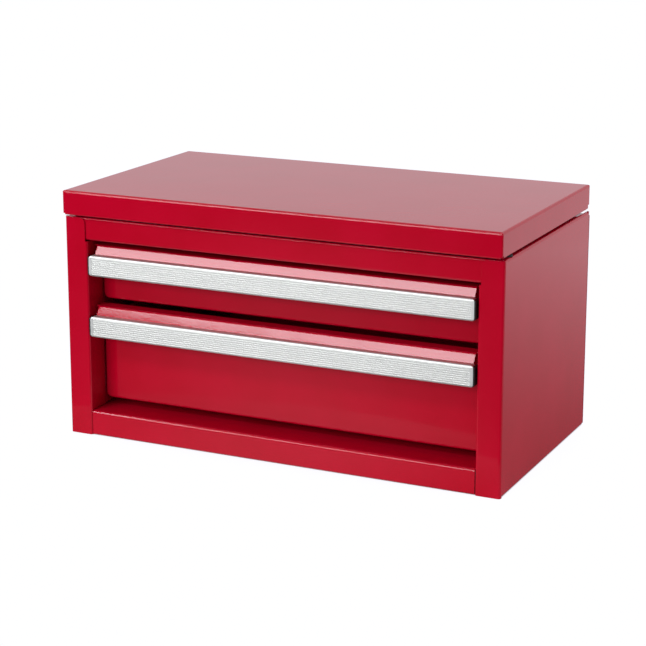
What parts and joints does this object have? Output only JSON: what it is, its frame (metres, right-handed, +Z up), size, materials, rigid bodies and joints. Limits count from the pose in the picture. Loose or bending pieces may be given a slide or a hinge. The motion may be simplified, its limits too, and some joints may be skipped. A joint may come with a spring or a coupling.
{
  "type": "portable tool box with drawers",
  "caption": "Low folded steel tool box with a hinged box lid over a lined top tray, recessed drawers on ball-bearing slides and full-width ribbed aluminium pulls.",
  "frame": {"origin": "middle of the overall box in plan, on the surface that the posts and foot flanges stand on", "axes": "+X to the right along the box, the drawers open towards -Y, +Z up"},
  "size_m": [0.275, 0.1508, 0.1492],
  "materials": {
    "red_paint": "gloss red powder coat",
    "zinc_steel": "bright zinc plate",
    "aluminium": "satin anodised extrusion",
    "rubber": "matte black rubber",
    "black_plastic": "satin black moulded plastic",
    "foam": "matte black closed-cell foam sheet",
    "ball_steel": "polished bearing steel"
  },
  "bodies": {
    "case": {"left_side_panel": "red_paint", "right_side_panel": "red_paint", "back_panel": "red_paint", "floor_pan": "red_paint", "top_tray": "red_paint", "left_slide_carrier": "red_paint", "right_slide_carrier": "red_paint", "case_hinge_leaf": "zinc_steel", "hinge_pin": "zinc_steel", "case_hinge_rivets": "zinc_steel", "lid_bumpers": "rubber", "top_tray_liner": "foam", "upper_left_outer_rail": "zinc_steel", "upper_right_outer_rail": "zinc_steel", "lower_left_outer_rail": "zinc_steel", "lower_right_outer_rail": "zinc_steel"},
    "lid": {"lid": "red_paint", "lid_hinge_leaf": "zinc_steel", "lid_hinge_rivets": "zinc_steel"},
    "upper_drawer": {"upper_drawer_tray": "red_paint", "upper_drawer_front": "red_paint", "upper_drawer_pull": "aluminium", "upper_pull_caps": "black_plastic", "upper_drawer_liner": "foam", "upper_left_inner_rail": "zinc_steel", "upper_right_inner_rail": "zinc_steel"},
    "lower_drawer": {"lower_drawer_tray": "red_paint", "lower_drawer_front": "red_paint", "lower_drawer_pull": "aluminium", "lower_pull_caps": "black_plastic", "lower_drawer_liner": "foam", "lower_left_inner_rail": "zinc_steel", "lower_right_inner_rail": "zinc_steel"},
    "upper_ball_cages": {"upper_left_ball_cage": "zinc_steel", "upper_right_ball_cage": "zinc_steel", "upper_slide_balls": "ball_steel"},
    "lower_ball_cages": {"lower_left_ball_cage": "zinc_steel", "lower_right_ball_cage": "zinc_steel", "lower_slide_balls": "ball_steel"}
  },
  "joints": [
    {"name": "lid_hinge", "type": "hinge", "parent": "case", "child": "lid", "pos_m": [0, 0.07175, 0.1339], "axis": [-1, 0, 0], "range_deg": [0, 98]},
    {"name": "upper_drawer_slide", "type": "slide", "parent": "case", "child": "upper_drawer", "axis": [0, -1, 0], "range_m": [0, 0.085]},
    {"name": "lower_drawer_slide", "type": "slide", "parent": "case", "child": "lower_drawer", "axis": [0, -1, 0], "range_m": [0, 0.085]},
    {"name": "upper_cage_travel", "type": "slide", "parent": "case", "child": "upper_ball_cages", "axis": [0, -1, 0], "range_m": [0, 0.0425]},
    {"name": "lower_cage_travel", "type": "slide", "parent": "case", "child": "lower_ball_cages", "axis": [0, -1, 0], "range_m": [0, 0.0425]}
  ],
  "couplings": [
    {"joint": "upper_cage_travel", "follows": "upper_drawer_slide", "ratio": 0.5},
    {"joint": "lower_cage_travel", "follows": "lower_drawer_slide", "ratio": 0.5}
  ]
}
